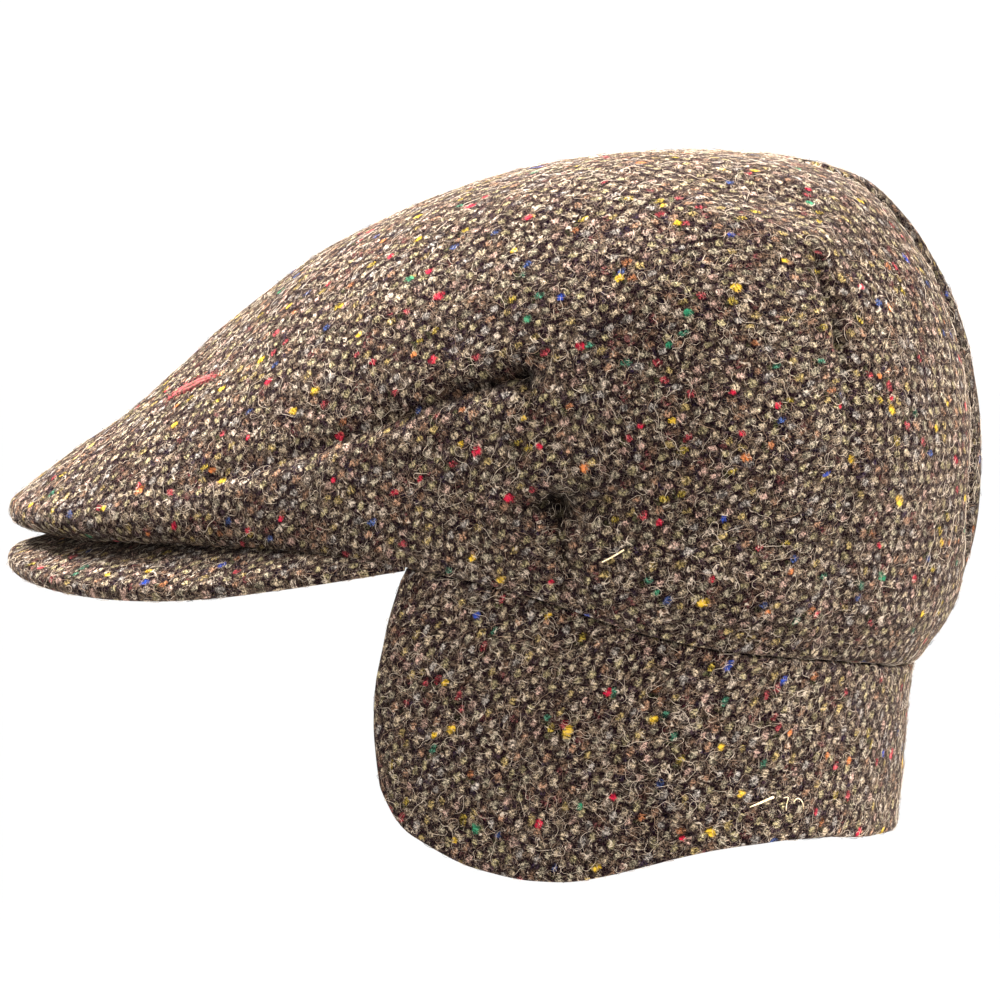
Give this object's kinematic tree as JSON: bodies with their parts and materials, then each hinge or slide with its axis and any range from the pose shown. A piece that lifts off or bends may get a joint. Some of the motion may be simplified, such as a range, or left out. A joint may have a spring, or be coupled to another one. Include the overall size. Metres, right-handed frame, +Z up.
{
  "type": "flat cap",
  "caption": "Tweed flat cap in its worn form: sloping one-piece crown over a stiff curved peak, with one ear and neck flap hanging from the rim round the back.",
  "frame": {"origin": "centre of the head opening at the height of the rim seam beside the ears", "axes": "front (peak) towards -Y, the wearer's left towards +X, +Z up as worn on a level head"},
  "size_m": [0.1922, 0.285, 0.2016],
  "materials": {
    "crown": "wool tweed, brown with light and coloured flecks",
    "peak": "wool tweed, brown with light and coloured flecks",
    "flap": "wool tweed, brown with light and coloured flecks"
  },
  "bodies": {
    "root": {"crown": "crown", "peak": "peak", "flap": "flap"}
  },
  "joints": []
}
